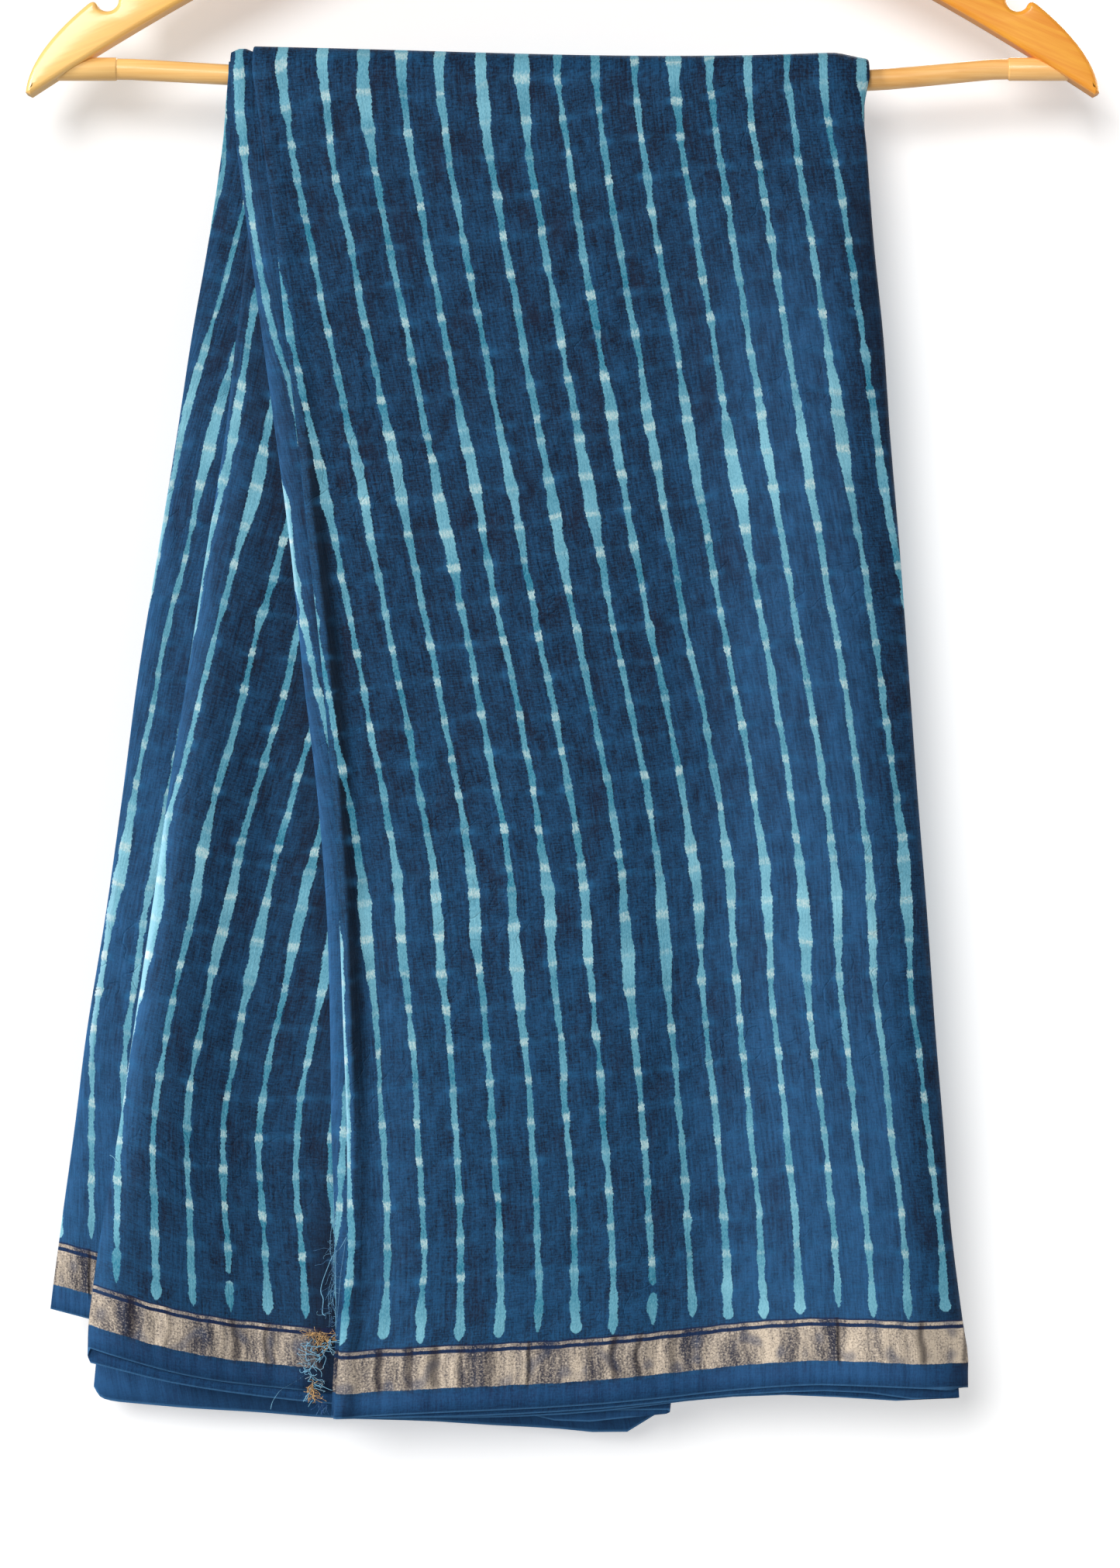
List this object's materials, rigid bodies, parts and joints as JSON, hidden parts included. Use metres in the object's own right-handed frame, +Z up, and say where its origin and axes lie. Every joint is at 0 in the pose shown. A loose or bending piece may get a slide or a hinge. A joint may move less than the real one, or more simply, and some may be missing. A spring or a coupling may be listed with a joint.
{
  "type": "chanderi sari on a clothes hanger",
  "caption": "Indigo striped sari folded back and forth along its length and hung at half its width over the bar of a wooden clothes hanger, its left side fanned out",
  "frame": {"origin": "the seat inside the hook, straight above the middle of the hanger, where a rail or peg carries it", "axes": "+Z up, +X along the hanger's bar to the right as the picture shows it, -Y towards the camera"},
  "size_m": [0.45, 0.0502, 0.7881],
  "materials": {
    "indigo_chanderi": "fine silk and cotton weave in indigo with turquoise bead stripes, cream ticks, and a dull gold border band above a plain blue edge",
    "loose_threads": "loose pale blue and gold yarn ends",
    "honey_wood": "honey coloured clear lacquer",
    "pale_wood": "pale turned dowel, thin clear lacquer",
    "steel_wire": "plain bright wire"
  },
  "bodies": {
    "root": {"sari": "indigo_chanderi", "frayed_threads": "loose_threads", "hanger_board": "honey_wood", "trouser_bar": "pale_wood", "hook": "steel_wire"}
  },
  "joints": []
}
